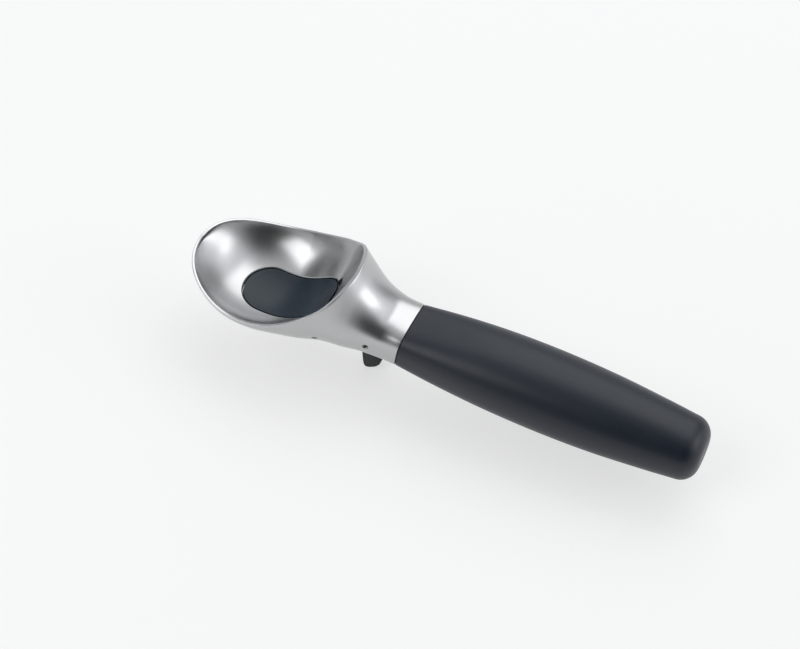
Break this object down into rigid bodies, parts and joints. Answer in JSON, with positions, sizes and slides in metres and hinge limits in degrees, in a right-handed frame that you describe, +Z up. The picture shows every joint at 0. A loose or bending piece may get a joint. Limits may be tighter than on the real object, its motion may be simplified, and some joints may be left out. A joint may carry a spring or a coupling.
{
  "type": "ice cream scoop",
  "caption": "Hand scoop with an open metal bowl, a curved ejector plate swung up by a finger trigger under the neck, and a soft sleeved oval handle.",
  "frame": {"origin": "middle of the scoop's length and width, at the level of the trigger's foot, which is the lowest point", "axes": "+X from the bowl's tip to the end of the handle, +Z up out of the open bowl, +Y across"},
  "size_m": [0.21, 0.053, 0.0506],
  "materials": {
    "satin_metal": "satin die cast metal",
    "plate_plastic": "fine matte",
    "lever_plastic": "matte",
    "trigger_plastic": "matte",
    "pin_steel": "ground",
    "spring_steel": "drawn wire",
    "seal_rubber": "matte",
    "core_plastic": "moulded",
    "grip_rubber": "soft touch matte"
  },
  "bodies": {
    "body": {"head_casting": "satin_metal", "ejector_pivot_pin": "pin_steel", "trigger_pivot_pin": "pin_steel", "trigger_spring": "spring_steel", "joint_seal": "seal_rubber", "handle_core": "core_plastic", "tang_screw": "pin_steel", "tang_washer": "pin_steel", "core_plug": "core_plastic", "handle_grip": "grip_rubber"},
    "trigger": {"trigger": "trigger_plastic"},
    "ejector": {"ejector_plate": "plate_plastic", "ejector_arm": "lever_plastic", "link_pin": "pin_steel"}
  },
  "joints": [
    {"name": "trigger_pull", "type": "hinge", "parent": "body", "child": "trigger", "pos_m": [-0.026, 0, 0.027], "axis": [0, -1, 0], "range_deg": [0, 17], "stiffness_Nm_per_rad": 0.2, "springref_deg": -28.65, "deforming": ["trigger_spring"]},
    {"name": "ejector_swing", "type": "hinge", "parent": "body", "child": "ejector", "pos_m": [-0.0447, 0, 0.0278], "axis": [0, 1, 0], "range_deg": [0, 24.2]}
  ],
  "couplings": [
    {"joint": "ejector_swing", "follows": "trigger_pull", "ratio": 1.42}
  ]
}
